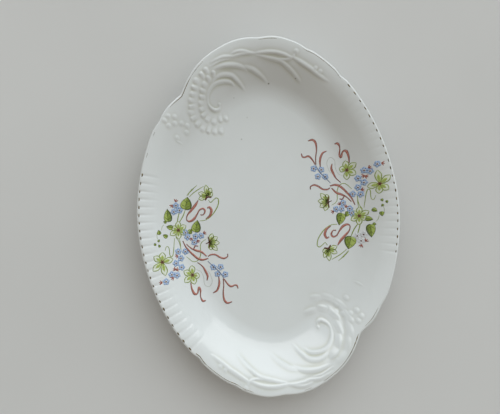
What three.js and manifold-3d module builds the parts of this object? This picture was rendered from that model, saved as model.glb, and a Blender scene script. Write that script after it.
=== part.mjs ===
// Oval porcelain platter with a scalloped and fluted rim, a moulded shell and scrolls at two
// opposite corners, two printed sprays of forget-me-nots and ribbons, and a worn gilt line.
// Millimetres, +Z up, +Y along the platter. The origin is the centre of the plane it stands on.
// Bearings are degrees from +X towards +Y. The shape repeats after half a turn.
import * as THREE from 'three';
import { mergeVertices } from 'three/addons/utils/BufferGeometryUtils.js';
import { TessellateModifier } from 'three/addons/modifiers/TessellateModifier.js';
import Module from 'manifold-3d';

// Outline of the rim: an oval, drawn in at five scallops and at their mates half a turn on
const HALF_LENGTH = 175.4;
const HALF_WIDTH = 128;
const OVAL_POWER = 1.87;
const SCALLOPS = [
  { bearing: 59.3, depth: 2.7, before: 3.5, after: 3.5 },
  { bearing: 74, depth: 1.7, before: 4, after: 4 },
  { bearing: 90.1, depth: 3.4, before: 8, after: 11 },
  { bearing: 123.2, depth: 8.4, before: 16, after: 18.5 },
  { bearing: 137, depth: 2, before: 8, after: 7 },
];
const SCALLOP_ROUNDING = 1;

// Section: flat well, hollow cove, straight bank, shoulder that levels off, rounded lip, and a foot ring
// underneath. The borders reach from the rim's oval in to the well, the shoulders in to the bank.
const END_BORDER = 61;
const SIDE_BORDER = 50;
const END_SHOULDER = 24;
const SIDE_SHOULDER = 17;
const WELL_WALL = 4.5;
const RIM_WALL = 3.4;
const COVE_RADIUS = 33;
const BANK_SLOPE = THREE.MathUtils.degToRad(38);
const SHOULDER_RADIUS = 40;
const FOOT_HEIGHT = 3;
const FOOT_WIDTH = 4;
const FOOT_INSET = 4;
const FOOT_SPLAY = 2;

// Flutes pressed into the two long sides of the border
const FLUTES = 23;
const FLUTE_START = -22;
const FLUTE_END = 56.5;
const FLUTE_DEPTH = 0.5;
const FLUTE_REACH = 30;

// Shell relief: the sizes of its ridges, lobes and beads, and the unit of its points' insets
const RELIEF_UNIT = 1;
const RIDGE_RADIUS = 1.7;
const LOBE_RADIUS = 4;
const INNER_LOBE_RADIUS = 3.2;
const BEAD_RADIUS = 2.6;
const KNOB_RISE = 1.4;
const KNOB_SINK = 0.6;

// Printed sprays: each is laid by hand, so each has its own place for its middle flower, and its own stretch.
// A spray's drawing has its own unit, so that it can be printed larger or smaller.
const LEFT_SPRAY_INSET = 38;
const RIGHT_SPRAY_INSET = 35.8;
const SPRAYS = [
  { side: 'left', bearing: 185.7, inset: LEFT_SPRAY_INSET, heading: 0, size: 1 },
  { side: 'right', bearing: -4.1, inset: RIGHT_SPRAY_INSET, heading: 177.1, size: 1.037 },
];
const SPRAY_TURN = -3.9;
const SPRAY_UNIT = 1;
const STEM_WIDTH = 1.2;
const RIBBON_WIDTH = 1.8;
const BLOSSOM_RADIUS = 3;

// Gilt line just inside the lip: whole along the ends, worn to dabs in the flutes' hollows
const GILT_INSET = 3;
const GILT_WIDTH = 1.2;
const GILT_DAB_WIDTH = 1.6;
const GILT_WORN_WIDTH = 0.5;

// Fired-on colour: its thickness, its gap to the glaze, and the gap between two colours
const FILM = 0.25;
const FILM_GAP = 0.35;
const COLOUR_GAP = 0.3;

// How finely the solids are cut
const END_STEPS = 24;
const FLUTED_STEPS = 2 * FLUTES;
const HALF_STEPS = FLUTED_STEPS + END_STEPS;
const COVE_STOPS = [0.25, 0.5, 0.75, 1];
const SHOULDER_STOPS = [0, 0.25, 0.5, 0.75, 1];
const UNDER_COVE_STOPS = [0.5, 1];
const UNDER_SHOULDER_STOPS = [0, 0.5, 1];
const LIP_ANGLES = [-30, 30].map(THREE.MathUtils.degToRad);
const FILM_FACET = 7;
const STRIP_STEP = 5;

const wasm = await Module();
wasm.setup();
const { degToRad, radToDeg, euclideanModulo } = THREE.MathUtils;

// The rim's, the well's and the section's formulas

function ovalRadius(bearing, halfLength, halfWidth) {
  const across = Math.abs(Math.cos(bearing) / halfWidth) ** OVAL_POWER;
  const along = Math.abs(Math.sin(bearing) / halfLength) ** OVAL_POWER;
  return (across + along) ** (-1 / OVAL_POWER);
}

function rimRadius(bearing) {
  let radius = ovalRadius(bearing, HALF_LENGTH, HALF_WIDTH);
  for (const scallop of SCALLOPS) {
    const away = euclideanModulo(radToDeg(bearing) - scallop.bearing + 90, 180) - 90;
    const spread = away < 0 ? scallop.before : scallop.after;
    const nearness = Math.max(0, 1 - Math.hypot(away, SCALLOP_ROUNDING) / spread);
    radius -= scallop.depth * nearness ** 2;
  }
  return radius;
}

function wellRadius(bearing) {
  return ovalRadius(bearing, HALF_LENGTH - END_BORDER, HALF_WIDTH - SIDE_BORDER);
}

// Rise and slope of the upper face at a bearing, at a distance outside the well's edge
const COVE_REACH = COVE_RADIUS * Math.sin(BANK_SLOPE);
const COVE_RISE = COVE_RADIUS * (1 - Math.cos(BANK_SLOPE));
const WELL_TOP = FOOT_HEIGHT + WELL_WALL;

function bankReach(bearing) {
  const shoulder = ovalRadius(bearing, HALF_LENGTH - END_SHOULDER, HALF_WIDTH - SIDE_SHOULDER);
  return Math.max(COVE_REACH, shoulder - wellRadius(bearing));
}

function upperFace(bearing, reach) {
  if (reach <= 0) return { rise: 0, slope: 0 };
  if (reach < COVE_REACH) {
    const slope = Math.asin(reach / COVE_RADIUS);
    return { rise: COVE_RADIUS * (1 - Math.cos(slope)), slope };
  }
  const bank = bankReach(bearing);
  const bankRise = COVE_RISE + (Math.min(reach, bank) - COVE_REACH) * Math.tan(BANK_SLOPE);
  if (reach < bank) return { rise: bankRise, slope: BANK_SLOPE };
  const slope = Math.asin(Math.sin(BANK_SLOPE) - (reach - bank) / SHOULDER_RADIUS);
  return { rise: bankRise + SHOULDER_RADIUS * (Math.cos(slope) - Math.cos(BANK_SLOPE)), slope };
}

function surfaceHeight(x, y) {
  const bearing = Math.atan2(y, x);
  return WELL_TOP + upperFace(bearing, Math.hypot(x, y) - wellRadius(bearing)).rise;
}

// Depth of the flute's hollow under its crests: deepest at the rim and gone at FLUTE_REACH
function fluteHollow(bearing, inset) {
  const along = euclideanModulo(radToDeg(bearing) - FLUTE_START, 180) / (FLUTE_END - FLUTE_START);
  if (along >= 1) return 0;
  const wave = (1 - Math.cos(2 * Math.PI * FLUTES * along)) / 2;
  return FLUTE_DEPTH * wave * Math.max(0, 1 - inset / FLUTE_REACH);
}

// Bearing of a cut round the platter: two cuts to a flute, wider ones along the ends
function cutBearing(step) {
  const half = Math.floor(step / HALF_STEPS);
  const rest = step - half * HALF_STEPS;
  const fluted = FLUTE_END - FLUTE_START;
  const along = rest <= FLUTED_STEPS
    ? fluted * (rest / FLUTED_STEPS)
    : fluted + (180 - fluted) * ((rest - FLUTED_STEPS) / END_STEPS);
  return degToRad(FLUTE_START + 180 * half + along);
}

// Radius and height of the section's points, from the middle of the underside round the lip
// to the middle of the well
function sectionPoints(bearing) {
  const well = wellRadius(bearing);
  const border = rimRadius(bearing) - well;
  const lip = RIM_WALL / 2;
  const lipSlope = upperFace(bearing, border - lip).slope;
  const lastReach = border - lip * (1 + Math.sin(lipSlope));
  const bank = bankReach(bearing);
  const shoulderReach = (stop) => bank + (lastReach - bank) * stop;

  const over = (reach) => {
    const height = WELL_TOP + upperFace(bearing, reach).rise;
    return [well + reach, height - fluteHollow(bearing, border - reach)];
  };
  const under = (reach) => {
    const { rise, slope } = upperFace(bearing, reach);
    const wall = THREE.MathUtils.lerp(WELL_WALL, RIM_WALL, reach / lastReach);
    return [well + reach + wall * Math.sin(slope), WELL_TOP + rise - wall * Math.cos(slope)];
  };
  const nose = (angle) => {
    const { rise, slope } = upperFace(bearing, lastReach);
    const radius = well + lastReach + lip * Math.sin(slope) + lip * Math.cos(slope + angle);
    const height = WELL_TOP + rise - lip * Math.cos(slope) + lip * Math.sin(slope + angle);
    const worn = angle > 0 ? fluteHollow(bearing, 0) : 0;
    return [radius, height - worn];
  };

  const footInner = well - FOOT_INSET - FOOT_WIDTH;
  return [
    [0, FOOT_HEIGHT],
    [footInner - FOOT_SPLAY, FOOT_HEIGHT],
    [footInner, 0],
    [well - FOOT_INSET, 0],
    [well - FOOT_INSET + FOOT_SPLAY, FOOT_HEIGHT],
    ...UNDER_COVE_STOPS.map((stop) => under(COVE_REACH * stop)),
    ...UNDER_SHOULDER_STOPS.map((stop) => under(shoulderReach(stop))),
    ...LIP_ANGLES.map(nose),
    ...SHOULDER_STOPS.toReversed().map((stop) => over(shoulderReach(stop))),
    ...COVE_STOPS.toReversed().map((stop) => over(COVE_REACH * stop)),
    over(0),
    [0, WELL_TOP],
  ];
}

// Closed meshes, and joining them

function weld(geometry) {
  geometry.deleteAttribute('normal');
  geometry.deleteAttribute('uv');
  const welded = mergeVertices(geometry);
  const corners = welded.index.array;
  const kept = [];
  for (let at = 0; at < corners.length; at += 3) {
    const [a, b, c] = corners.slice(at, at + 3);
    if (a !== b && b !== c && c !== a) kept.push(a, b, c);
  }
  welded.setIndex(kept);
  return welded;
}

function solid(geometry) {
  const welded = weld(geometry);
  return new wasm.Manifold(new wasm.Mesh({
    numProp: 3,
    vertProperties: new Float32Array(welded.attributes.position.array),
    triVerts: new Uint32Array(welded.index.array),
  }));
}

function join(geometries) {
  const whole = geometries.map(solid).reduce((sum, next) => sum.add(next));
  const mesh = whole.getMesh();
  const joined = new THREE.BufferGeometry();
  joined.setAttribute('position', new THREE.BufferAttribute(mesh.vertProperties, 3));
  joined.setIndex(new THREE.BufferAttribute(mesh.triVerts, 1));
  return joined;
}

// Moves every vertex of a geometry through a function of its x, y and z
function reshape(geometry, move) {
  const position = geometry.attributes.position;
  const vertex = new THREE.Vector3();
  for (let at = 0; at < position.count; at += 1) {
    vertex.fromBufferAttribute(position, at);
    move(vertex, at);
    position.setXYZ(at, vertex.x, vertex.y, vertex.z);
  }
  return geometry;
}

// Porcelain body: a lathe's rings, each vertex set on its own bearing's section
function platterGeometry() {
  const profile = sectionPoints(0).map(([radius, height]) => new THREE.Vector2(radius, height));
  const lathe = new THREE.LatheGeometry(profile, 2 * HALF_STEPS);
  return reshape(lathe, (vertex, at) => {
    const step = Math.floor(at / profile.length) % (2 * HALF_STEPS);
    const bearing = cutBearing(step);
    const [radius, height] = sectionPoints(bearing)[at % profile.length];
    vertex.set(radius * Math.cos(bearing), radius * Math.sin(bearing), height);
  });
}

// A point on the upper face in plan, by its bearing and its inset from the rim
function rimPoint(bearing, inset) {
  const angle = degToRad(bearing);
  const radius = rimRadius(angle) - inset;
  return [radius * Math.cos(angle), radius * Math.sin(angle)];
}

function smoothCurve(points) {
  return new THREE.CatmullRomCurve3(points.map(([x, y]) => new THREE.Vector3(x, y, 0)));
}

// Moulded relief: scroll ridges, the shell's two rows of lobes, and the flower beads beside it.
// Each point is a bearing and an inset from the rim.
const SCROLLS = [
  [[109.5, 45], [113, 44.5], [115, 35], [115, 28.5], [113.5, 24], [110.5, 23.5], [107.5, 25], [104, 28.5]],
  [[110, 23], [106.5, 22], [103.5, 25], [101, 31], [99.5, 40], [98, 48]],
  [[107, 16.5], [103.5, 18], [99, 21.5], [95, 26], [91.5, 32], [88, 38], [86, 40.5]],
  [[108, 9], [105, 10], [102, 11], [97.5, 14], [93, 12.5], [87.5, 13], [83, 13.5], [78, 13]],
  [[91.5, 15.5], [87.5, 18], [84, 20], [81, 19], [78, 15.5]],
  [[82.5, 20.5], [80, 22], [76.5, 26], [73.5, 28]],
  [[77, 14], [73.5, 15.5], [69.5, 17], [66.5, 17], [63, 14.5]],
];
const LOBES = [
  [110, 10.5], [112.5, 10], [116, 6.5], [117.5, 9], [120, 8], [122, 10], [124, 15.5], [124.5, 22.5],
  [124.5, 30.5], [123.5, 36], [122, 42.5], [119, 52],
];
const INNER_LOBES = [
  [110.5, 18], [113.5, 18], [115.5, 19.5], [117, 21.5], [119, 22.5], [119.5, 27.5], [119.5, 34],
  [118, 43.5], [115, 51],
];
const BEADS = [[132.5, 7], [135, 6.5], [132, 13], [135.5, 11], [131.5, 20.5], [131, 28.5], [137, 23.5]];
const RIDGE_SIDES = 5;
const KNOB_SIDES = 5;
const RIDGE_SINK = 0.35;
const RIDGE_END_SINK = 0.55;

function ridge(points, place) {
  const plan = smoothCurve(points.map(place));
  const stops = points.length + 1;
  const centres = plan.getSpacedPoints(stops).map(({ x, y }, at) => {
    const end = RIDGE_END_SINK * Math.abs(2 * at / stops - 1) ** 4;
    return new THREE.Vector3(x, y, surfaceHeight(x, y) - RIDGE_RADIUS * (RIDGE_SINK + end));
  });
  const ring = new THREE.EllipseCurve(0, 0, RIDGE_RADIUS, RIDGE_RADIUS).getPoints(RIDGE_SIDES);
  const path = new THREE.CatmullRomCurve3(centres);
  return new THREE.ExtrudeGeometry(new THREE.Shape(ring), { steps: stops, extrudePath: path });
}

function knob(point, radius, place) {
  const [x, y] = place(point);
  const ball = new THREE.SphereGeometry(1, KNOB_SIDES, 3).rotateX(Math.PI / 2);
  ball.scale(radius, radius, KNOB_RISE + KNOB_SINK);
  return ball.translate(x, y, surfaceHeight(x, y) - KNOB_SINK);
}

function relief(halfTurn) {
  const place = ([bearing, inset]) => rimPoint(bearing + halfTurn, inset * RELIEF_UNIT);
  return [
    ...SCROLLS.map((points) => ridge(points, place)),
    ...LOBES.map((point) => knob(point, LOBE_RADIUS, place)),
    ...INNER_LOBES.map((point) => knob(point, INNER_LOBE_RADIUS, place)),
    ...BEADS.map((point) => knob(point, BEAD_RADIUS, place)),
  ];
}

// Flat shapes of one film's thickness, drawn in plan before they are laid on the platter

const STRIP_END_SHARE = 0.45;

function strip(points, width) {
  const curve = smoothCurve(points);
  const steps = Math.ceil(curve.getLength() / STRIP_STEP);
  const taper = (t) => width * THREE.MathUtils.lerp(STRIP_END_SHARE, 1, Math.sin(Math.PI * t));
  return reshape(new THREE.BoxGeometry(1, 1, FILM, steps, 1, 1), (vertex) => {
    const t = Math.round((vertex.x + 0.5) * steps) / steps;
    const middle = curve.getPointAt(t);
    const along = curve.getTangentAt(t);
    const aside = vertex.y * taper(t);
    vertex.set(middle.x - along.y * aside, middle.y + along.x * aside, vertex.z + FILM / 2);
  });
}

function plate(outline) {
  return new THREE.ExtrudeGeometry(outline, { depth: FILM, bevelEnabled: false, curveSegments: 4 });
}

function flower([x, y], radius, waist, petals) {
  const outline = new THREE.Shape();
  for (let at = 0; at < 2 * petals; at += 1) {
    const angle = Math.PI * (0.5 + at / petals);
    const reach = at % 2 ? radius * waist : radius;
    const point = [x + reach * Math.cos(angle), y + reach * Math.sin(angle)];
    if (at) outline.lineTo(...point);
    else outline.moveTo(...point);
  }
  return plate(outline);
}

function leaf([x, y], length, width, heading) {
  const outline = new THREE.Shape();
  outline.moveTo(-length / 2, 0);
  outline.quadraticCurveTo(0, width, length / 2, 0);
  outline.quadraticCurveTo(0, -width, -length / 2, 0);
  return plate(outline).rotateZ(degToRad(heading)).translate(x, y, 0);
}

// Lays flat shapes on the platter's upper face, the given gap above it
function drape(shapes, place, gap) {
  const cut = new TessellateModifier(FILM_FACET).modify(join(shapes));
  return reshape(cut, (vertex) => {
    const [x, y] = place([vertex.x, vertex.y]);
    vertex.set(x, y, surfaceHeight(x, y) + gap + vertex.z);
  });
}

// Spray's drawing, in its own unit from its middle flower
const STARS = [
  { at: [0, 0], radius: 8.7, petals: 6 },
  { at: [-15, -31], radius: 10.5, petals: 5 },
  { at: [14, -44], radius: 9, petals: 5 },
  { at: [35, -12], radius: 8, petals: 5 },
  { at: [29, 37], radius: 8, petals: 5 },
];
const LEAVES = [
  { at: [7.5, 26.5], length: 14, width: 11, heading: 70 },
  { at: [-10.5, 14.5], length: 13, width: 8, heading: 105 },
  { at: [18, 4], length: 13, width: 9, heading: 50 },
  { at: [-9, 3], length: 7, width: 5, heading: 160 },
  { at: [-19, -2.5], length: 6, width: 4.5, heading: 170 },
  { at: [-13.5, -6], length: 6, width: 4.5, heading: 200 },
];
const STEMS = [
  [[31, 33], [37, 32.5], [40, 30], [40, 23.5], [35, 14.5], [28, 9.5], [20, 8]],
  [[15, 3], [4, 1]],
  [[7, 22], [4, 14], [0, 5]],
  [[-10, 11], [-3, 2]],
  [[-20, -2.5], [-13, -6], [-5, -3]],
  [[-24, -15], [-19.5, -10.5], [-14, -6]],
  [[-16, -23], [-13, -18], [-11, -16], [-9, -18.5], [-8.5, -24], [-7, -27], [-5, -24], [-3.5, -14], [0, -5]],
  [[32, -12], [25, -11], [22, -15], [22, -25], [19, -30.5], [14, -31], [8, -27], [3, -20], [0, -5]],
  [[14, -31], [14, -38]],
];
const BLOSSOMS = {
  top: [[-2, 24.5], [1.5, 19.5], [-4.5, 18]],
  middle: [[7.5, -3], [9, -7], [17.5, -6.5], [22.5, -6], [17.5, -6.5], [16, -12.5]],
  chain: [[7, -22], [0, -21.5], [2.5, -28], [-2.5, -33], [2.5, -33], [4, -36.5], [-1, -43.5], [-6, -43],
    [-11.5, -50]],
  end: [[35, -37], [42, -37], [39, -44], [46.5, -44]],
};
const RIBBONS = {
  curl: [[[20, 29.5], [17, 24.5], [13, 19.5], [9, 14.5], [8.5, 9.5], [11, 8.5], [15.5, 11], [18.5, 15.5],
    [21, 20.5], [24.5, 22], [26.5, 19.5], [26, 16]]],
  hook: [[[29, 23], [31.5, 23], [33, 19.5], [31.5, 14.5], [27.5, 11]]],
  bow: [
    [[4.5, -10.5], [8, -17.5], [13, -23], [19.5, -27.5], [24.5, -29.5], [31, -26]],
    [[8.5, -13.5], [13, -18], [18, -20], [23, -21], [31, -26]],
    [[28, -26], [32.5, -24.5], [37, -24.5], [41.5, -27], [45.5, -28.5], [49, -26], [49, -23.5]],
  ],
  middle_tail: [[[19.5, -32], [24.5, -36], [27.5, -41], [29.5, -45.5], [29, -50.5]]],
  star_tail: [[[12.5, -52], [13.5, -58], [16.5, -63.5], [19, -62.5], [20.5, -58], [22, -60], [22, -66],
    [27, -70.5]]],
  short_tail: [[[40.5, -49], [40.5, -53], [39, -60], [35, -62.5]]],
  long_tails: [
    [[45, -49], [45.5, -55.5], [44.5, -63], [45.5, -69.5], [49, -72.5], [53.5, -71.5]],
    [[45, -49], [49, -53], [52.5, -56.5], [56, -54.5], [59.5, -58.5]],
  ],
};

// A spray is laid on the platter by its middle flower, with its own heading
function sprayPlace({ bearing, inset, heading, size }) {
  const [middleX, middleY] = rimPoint(bearing, inset);
  const turn = degToRad(heading + SPRAY_TURN);
  const along = SPRAY_UNIT * size * Math.cos(turn);
  const aside = SPRAY_UNIT * size * Math.sin(turn);
  return ([x, y]) => [middleX + x * along - y * aside, middleY + x * aside + y * along];
}

const STAR_WAIST = 0.45;
const BLOSSOM_WAIST = 0.72;
const BLOSSOM_PETALS = 5;
const BLOSSOM_STEM_WIDTH = 1;
const UPPER_GAP = FILM_GAP + FILM + COLOUR_GAP;

function greenery(place) {
  const shapes = [
    ...STARS.map((star) => flower(star.at, star.radius, STAR_WAIST, star.petals)),
    ...LEAVES.map(({ at, length, width, heading }) => leaf(at, length, width, heading)),
    ...STEMS.map((points) => strip(points, STEM_WIDTH)),
  ];
  return drape(shapes, place, FILM_GAP);
}

function blossoms(middles, place) {
  const heads = middles.map((middle) => flower(middle, BLOSSOM_RADIUS, BLOSSOM_WAIST, BLOSSOM_PETALS));
  const stems = middles.slice(1).map((middle, at) => strip([middles[at], middle], BLOSSOM_STEM_WIDTH));
  return drape([...heads, ...stems], place, UPPER_GAP);
}

function ribbon(strands, place) {
  return drape(strands.map((points) => strip(points, RIBBON_WIDTH)), place, UPPER_GAP);
}

// Gilt line along the rim between two cuts, its width given for each cut
function gilt(firstStep, steps, endTrim, widthAt) {
  const line = new THREE.BoxGeometry(1, 1, FILM, steps, 1, 1);
  return reshape(line, (vertex) => {
    const at = Math.round((vertex.x + 0.5) * steps);
    const bearing = cutBearing(firstStep + THREE.MathUtils.clamp(at, endTrim, steps - endTrim));
    const inset = GILT_INSET + vertex.y * widthAt(at);
    const radius = rimRadius(bearing) - inset;
    const x = radius * Math.cos(bearing);
    const y = radius * Math.sin(bearing);
    const glaze = surfaceHeight(x, y) - fluteHollow(bearing, inset);
    vertex.set(x, y, glaze + FILM_GAP + FILM / 2 + vertex.z);
  });
}

// Materials, and the platter put together

const porcelain = new THREE.MeshStandardMaterial({ color: 0xdfe1de, roughness: 0.12, metalness: 0 });
const gold = new THREE.MeshStandardMaterial({ color: 0x7a5c2e, roughness: 0.4, metalness: 0.6 });
const green = new THREE.MeshStandardMaterial({ color: 0x7d9440, roughness: 0.3, metalness: 0 });
const blue = new THREE.MeshStandardMaterial({ color: 0x6f94cf, roughness: 0.3, metalness: 0 });
const red = new THREE.MeshStandardMaterial({ color: 0xa5604f, roughness: 0.3, metalness: 0 });

function piece(name, geometry, material) {
  const mesh = new THREE.Mesh(weld(geometry), material);
  mesh.name = name;
  return mesh;
}

const platter = new THREE.Group();
platter.add(piece('porcelain_body', join([platterGeometry(), ...relief(0), ...relief(180)]), porcelain));

const GILT_END_TRIM = 0.3;
const dabWidth = (at) => (at % 2 ? GILT_DAB_WIDTH : GILT_WORN_WIDTH);
const lineWidth = () => GILT_WIDTH;
['right', 'left'].forEach((side, half) => {
  const line = gilt(half * HALF_STEPS, FLUTED_STEPS, 0, dabWidth);
  platter.add(piece(`gilt_dabs_${side}`, line, gold));
});
['far', 'near'].forEach((end, half) => {
  const line = gilt(half * HALF_STEPS + FLUTED_STEPS, END_STEPS, GILT_END_TRIM, lineWidth);
  platter.add(piece(`gilt_line_${end}_end`, line, gold));
});

for (const spray of SPRAYS) {
  const group = new THREE.Group();
  const place = sprayPlace(spray);
  group.add(piece(`${spray.side}_spray_greenery`, greenery(place), green));
  for (const [name, middles] of Object.entries(BLOSSOMS)) {
    group.add(piece(`${spray.side}_spray_blossoms_${name}`, blossoms(middles, place), blue));
  }
  for (const [name, strands] of Object.entries(RIBBONS)) {
    group.add(piece(`${spray.side}_spray_ribbon_${name}`, ribbon(strands, place), red));
  }
  platter.add(group);
}

export default platter;
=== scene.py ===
"""An oval porcelain platter with moulded shells, fluted sides, a worn gilt line and printed sprays."""

import bpy
import numpy as np
from mathutils import Matrix


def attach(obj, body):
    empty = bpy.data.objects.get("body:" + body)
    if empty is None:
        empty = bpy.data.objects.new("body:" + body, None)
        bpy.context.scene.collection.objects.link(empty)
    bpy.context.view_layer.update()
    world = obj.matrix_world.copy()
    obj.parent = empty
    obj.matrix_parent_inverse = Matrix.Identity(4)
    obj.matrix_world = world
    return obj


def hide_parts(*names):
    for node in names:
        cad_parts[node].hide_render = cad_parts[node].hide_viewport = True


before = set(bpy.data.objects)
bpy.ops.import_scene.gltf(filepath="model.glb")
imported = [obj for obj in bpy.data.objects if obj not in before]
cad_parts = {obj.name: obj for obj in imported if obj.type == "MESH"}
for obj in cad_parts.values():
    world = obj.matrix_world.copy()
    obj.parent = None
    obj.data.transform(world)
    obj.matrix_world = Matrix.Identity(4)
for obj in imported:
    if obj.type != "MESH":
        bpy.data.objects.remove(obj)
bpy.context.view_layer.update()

# Porcelain body: one piece of white hard porcelain, pressed in a plaster mould and fired, so the foot
# ring, the scalloped lip, the flutes and the moulded shells are all one. A clear glaze covers it, except
# on the bottom of the foot ring, which was wiped bare to stand on the kiln shelf. Sizes in millimetres.
half_length = 175.2
half_width = 127.9
oval_power = 1.87
end_border, side_border = 61.0, 50.0
end_shoulder, side_shoulder = 24.0, 17.0
well_top = 7.5
well_wall = 4.5
lip_radius = 1.7
cove_radius = 33.0
bank_slope = np.radians(38)
shoulder_radius = 40.0
# A scallop is its bearing, its depth, and how many degrees it reaches before and after.
scallops = ((59.3, 2.7, 3.5, 3.5), (74.0, 1.7, 4.0, 4.0), (90.1, 3.4, 8.0, 11.0),
            (123.2, 8.4, 16.0, 18.5), (137.0, 2.0, 8.0, 7.0))
flute_start, flute_end, flutes_per_side = -22.0, 56.5, 23
flute_depth = 0.5
flute_reach = 21.0
flute_sharpness = 3
# The mould pressed the flutes unevenly: deepest at this bearing, shallowest half a turn away.
deepest_flutes = np.radians(225)
usual_press, press_swing = 0.75, 0.4


def oval_radius(bearing, length, width):
    """Radius of a slightly pointed oval at a bearing in degrees, counted from +X towards +Y."""
    turn = np.radians(bearing)
    return (np.abs(np.cos(turn) / width) ** oval_power
            + np.abs(np.sin(turn) / length) ** oval_power) ** (-1 / oval_power)


def rim_radius(bearing):
    """Radius of the scalloped outline: soft nicks, which repeat after half a turn."""
    radius = oval_radius(bearing, half_length, half_width)
    for middle, depth, before, after in scallops:
        away = (bearing - middle + 90) % 180 - 90
        spread = np.where(away < 0, before, after)
        radius = radius - depth * np.maximum(0, 1 - np.hypot(away, 1) / spread) ** 2
    return radius


def well_radius(bearing):
    """Radius of the flat well's edge."""
    return oval_radius(bearing, half_length - end_border, half_width - side_border)


def border_section(bearing, reach):
    """Rise and slope of the face at a reach outside the well: a cove, a bank, a shoulder that levels."""
    cove_reach = cove_radius * np.sin(bank_slope)
    shoulder_radii = oval_radius(bearing, half_length - end_shoulder, half_width - side_shoulder)
    shoulder = shoulder_radii - well_radius(bearing)
    in_cove = np.arcsin(np.clip(reach, 0, cove_reach) / cove_radius)
    on_bank = np.clip(reach, cove_reach, shoulder) - cove_reach
    on_shoulder = np.arcsin(np.sin(bank_slope) - np.maximum(reach - shoulder, 0) / shoulder_radius)
    rise = (cove_radius * (1 - np.cos(in_cove)) + on_bank * np.tan(bank_slope)
            + shoulder_radius * (np.cos(on_shoulder) - np.cos(bank_slope)))
    return rise, np.where(reach > cove_reach, on_shoulder, in_cove)


def flute_hollow(bearing, inset):
    """How far the flutes sink the border. They run square to the rim of both sides and die out inwards."""
    turn = np.radians(bearing)
    square = np.arctan2(np.sin(turn) / half_length ** 2, np.cos(turn) / half_width ** 2)
    from_rim = bearing - np.degrees(np.tan(turn - square) * inset / rim_radius(bearing))
    along = (from_rim - flute_start) % 180 / (flute_end - flute_start)
    wave = np.where(along < 1, (1 - np.cos(2 * np.pi * flutes_per_side * along)) / 2, 0)
    pressed = usual_press + press_swing * np.cos(turn - deepest_flutes)
    return flute_depth * pressed * wave ** flute_sharpness * np.clip(1 - inset / flute_reach, 0, 1)


def drawn_line(points, step):
    """A smooth line through the points, sampled about every step."""
    path = np.array(points, float)
    path = np.vstack([2 * path[0] - path[1], path, 2 * path[-1] - path[-2]])
    line = []
    for a, b, c, d in zip(path, path[1:], path[2:], path[3:]):
        count = max(2, int(np.linalg.norm(c - b) / step))
        t = (np.arange(count) / count)[:, None]
        line.append(b + t * ((c - a) + t * ((2 * a - 5 * b + 4 * c - d) + t * (3 * b - 3 * c + d - a))) / 2)
    return np.vstack(line + [path[-2:-1]])


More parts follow.
